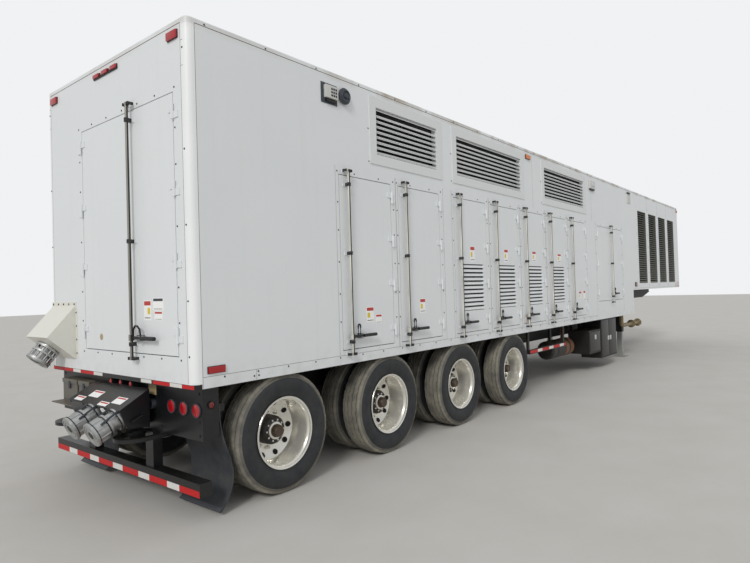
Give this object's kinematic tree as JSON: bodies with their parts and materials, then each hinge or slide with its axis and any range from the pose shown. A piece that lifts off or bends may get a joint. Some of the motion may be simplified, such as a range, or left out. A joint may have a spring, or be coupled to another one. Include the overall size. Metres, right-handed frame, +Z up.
{
  "type": "trailer-mounted gas generator set",
  "caption": "White box enclosure with service doors, louvres and radiator bays on a drop-deck trailer, standing on its landing legs.",
  "frame": {"origin": "on the ground, under the middle of the whole unit's length and width", "axes": "+X forwards along the trailer, +Y to its left, +Z up"},
  "size_m": [16.9494, 2.7374, 3.948],
  "materials": {
    "white_paint": "satin white",
    "black_paint": "dusty black",
    "bare_steel": "galvanised",
    "leg_steel": "greased steel",
    "wheel_aluminium": "machined",
    "cast_aluminium": "as cast",
    "tyre_rubber": "dusty",
    "flap_rubber": "dusty",
    "lamp_lens": "moulded lens"
  },
  "bodies": {
    "trailer": {"right_wall_sill": "white_paint", "right_wall_posts": "white_paint", "right_wall_header": "white_paint", "right_radiator_frame": "white_paint", "right_louvres": "white_paint", "left_louvres": "white_paint", "left_wall": "white_paint", "left_doors": "white_paint", "rear_wall": "white_paint", "front_wall": "white_paint", "corner_posts": "white_paint", "roof": "white_paint", "floor": "black_paint", "wall_fittings": "bare_steel", "left_wheels": "wheel_aluminium", "left_tyres": "tyre_rubber", "axles": "black_paint", "suspension": "black_paint", "main_beams": "black_paint", "crossmembers": "black_paint", "kingpin_plate": "black_paint", "landing_gear": "black_paint", "rear_frame": "black_paint", "mud_flaps": "flap_rubber", "coupler_housing": "black_paint", "cable_couplers": "cast_aluminium", "cable_hood": "white_paint", "side_cabinets": "black_paint", "air_tank": "black_paint", "gas_inlet": "bare_steel", "lamps": "lamp_lens"},
    "door_1": {"door_1": "white_paint"},
    "lock_rod_1": {"lock_rod_1": "bare_steel"},
    "door_2": {"door_2": "white_paint"},
    "lock_rod_2": {"lock_rod_2": "bare_steel"},
    "door_3": {"door_3": "white_paint"},
    "lock_rod_3": {"lock_rod_3": "bare_steel"},
    "door_4": {"door_4": "white_paint"},
    "lock_rod_4": {"lock_rod_4": "bare_steel"},
    "door_5": {"door_5": "white_paint"},
    "lock_rod_5": {"lock_rod_5": "bare_steel"},
    "door_6": {"door_6": "white_paint"},
    "lock_rod_6": {"lock_rod_6": "bare_steel"},
    "door_7": {"door_7": "white_paint"},
    "lock_rod_7": {"lock_rod_7": "bare_steel"},
    "double_door_rear_leaf": {"double_door_rear_leaf": "white_paint"},
    "double_door_front_leaf": {"double_door_front_leaf": "white_paint"},
    "double_door_lock_rod": {"double_door_lock_rod": "bare_steel"},
    "rear_door_right_leaf": {"rear_door_right_leaf": "white_paint"},
    "rear_door_left_leaf": {"rear_door_left_leaf": "white_paint"},
    "rear_door_lock_rod": {"rear_door_lock_rod": "bare_steel"},
    "right_wheels_1": {"right_wheel_1": "wheel_aluminium", "right_tyres_1": "tyre_rubber"},
    "right_wheels_2": {"right_wheel_2": "wheel_aluminium", "right_tyres_2": "tyre_rubber"},
    "right_wheels_3": {"right_wheel_3": "wheel_aluminium", "right_tyres_3": "tyre_rubber"},
    "right_wheels_4": {"right_wheel_4": "wheel_aluminium", "right_tyres_4": "tyre_rubber"},
    "landing_legs": {"landing_legs": "leg_steel"}
  },
  "joints": [
    {"name": "door_1_swing", "type": "hinge", "parent": "trailer", "child": "door_1", "pos_m": [-5.49134, -1.3095, 2.06], "axis": [0, 0, 1], "range_deg": [0, 100]},
    {"name": "lock_rod_1_turn", "type": "hinge", "parent": "door_1", "child": "lock_rod_1", "pos_m": [-6.24033, -1.3455, 1.315], "axis": [0, 0, -1], "range_deg": [0, 100]},
    {"name": "door_2_swing", "type": "hinge", "parent": "trailer", "child": "door_2", "pos_m": [-4.52133, -1.3095, 2.06], "axis": [0, 0, 1], "range_deg": [0, 100]},
    {"name": "lock_rod_2_turn", "type": "hinge", "parent": "door_2", "child": "lock_rod_2", "pos_m": [-5.27034, -1.3455, 1.315], "axis": [0, 0, -1], "range_deg": [0, 100]},
    {"name": "door_3_swing", "type": "hinge", "parent": "trailer", "child": "door_3", "pos_m": [-3.34633, -1.3095, 2.06], "axis": [0, 0, 1], "range_deg": [0, 100]},
    {"name": "lock_rod_3_turn", "type": "hinge", "parent": "door_3", "child": "lock_rod_3", "pos_m": [-4.09534, -1.3455, 1.315], "axis": [0, 0, -1], "range_deg": [0, 100]},
    {"name": "door_4_swing", "type": "hinge", "parent": "trailer", "child": "door_4", "pos_m": [-2.36133, -1.3095, 2.06], "axis": [0, 0, 1], "range_deg": [0, 100]},
    {"name": "lock_rod_4_turn", "type": "hinge", "parent": "door_4", "child": "lock_rod_4", "pos_m": [-3.11034, -1.3455, 1.315], "axis": [0, 0, -1], "range_deg": [0, 100]},
    {"name": "door_5_swing", "type": "hinge", "parent": "trailer", "child": "door_5", "pos_m": [-1.38133, -1.3095, 2.06], "axis": [0, 0, 1], "range_deg": [0, 100]},
    {"name": "lock_rod_5_turn", "type": "hinge", "parent": "door_5", "child": "lock_rod_5", "pos_m": [-2.13034, -1.3455, 1.315], "axis": [0, 0, -1], "range_deg": [0, 100]},
    {"name": "door_6_swing", "type": "hinge", "parent": "trailer", "child": "door_6", "pos_m": [-0.41634, -1.3095, 2.06], "axis": [0, 0, 1], "range_deg": [0, 100]},
    {"name": "lock_rod_6_turn", "type": "hinge", "parent": "door_6", "child": "lock_rod_6", "pos_m": [-1.16534, -1.3455, 1.315], "axis": [0, 0, -1], "range_deg": [0, 100]},
    {"name": "door_7_swing", "type": "hinge", "parent": "trailer", "child": "door_7", "pos_m": [0.55866, -1.3095, 2.06], "axis": [0, 0, 1], "range_deg": [0, 100]},
    {"name": "lock_rod_7_turn", "type": "hinge", "parent": "door_7", "child": "lock_rod_7", "pos_m": [-0.19034, -1.3455, 1.315], "axis": [0, 0, -1], "range_deg": [0, 100]},
    {"name": "double_door_rear_leaf_swing", "type": "hinge", "parent": "trailer", "child": "double_door_rear_leaf", "pos_m": [1.25066, -1.3095, 2.16], "axis": [0, 0, -1], "range_deg": [0, 100]},
    {"name": "double_door_front_leaf_swing", "type": "hinge", "parent": "trailer", "child": "double_door_front_leaf", "pos_m": [2.86867, -1.3095, 2.16], "axis": [0, 0, 1], "range_deg": [0, 100]},
    {"name": "double_door_lock_rod_turn", "type": "hinge", "parent": "double_door_front_leaf", "child": "double_door_lock_rod", "pos_m": [2.06611, -1.3455, 1.55], "axis": [0, 0, -1], "range_deg": [0, 100]},
    {"name": "rear_door_right_leaf_swing", "type": "hinge", "parent": "trailer", "child": "rear_door_right_leaf", "pos_m": [-8.02933, -1.104, 2.34], "axis": [0, 0, 1], "range_deg": [0, 100]},
    {"name": "rear_door_left_leaf_swing", "type": "hinge", "parent": "trailer", "child": "rear_door_left_leaf", "pos_m": [-8.02933, 0.524, 2.34], "axis": [0, 0, -1], "range_deg": [0, 95]},
    {"name": "rear_door_lock_rod_turn", "type": "hinge", "parent": "rear_door_right_leaf", "child": "rear_door_lock_rod", "pos_m": [-8.06533, -0.455, 1.43], "axis": [0, 0, -1], "range_deg": [0, 100]},
    {"name": "right_wheels_1_roll", "type": "hinge", "parent": "trailer", "child": "right_wheels_1", "pos_m": [-7.08833, -0.9905, 0.533], "axis": [0, 1, 0], "continuous": true},
    {"name": "right_wheels_2_roll", "type": "hinge", "parent": "trailer", "child": "right_wheels_2", "pos_m": [-5.58333, -0.9905, 0.533], "axis": [0, 1, 0], "continuous": true},
    {"name": "right_wheels_3_roll", "type": "hinge", "parent": "trailer", "child": "right_wheels_3", "pos_m": [-4.08333, -0.9905, 0.533], "axis": [0, 1, 0], "continuous": true},
    {"name": "right_wheels_4_roll", "type": "hinge", "parent": "trailer", "child": "right_wheels_4", "pos_m": [-2.57834, -0.9905, 0.533], "axis": [0, 1, 0], "continuous": true},
    {"name": "landing_legs_wind", "type": "slide", "parent": "trailer", "child": "landing_legs", "axis": [0, 0, 1], "range_m": [0, 0.35]}
  ]
}
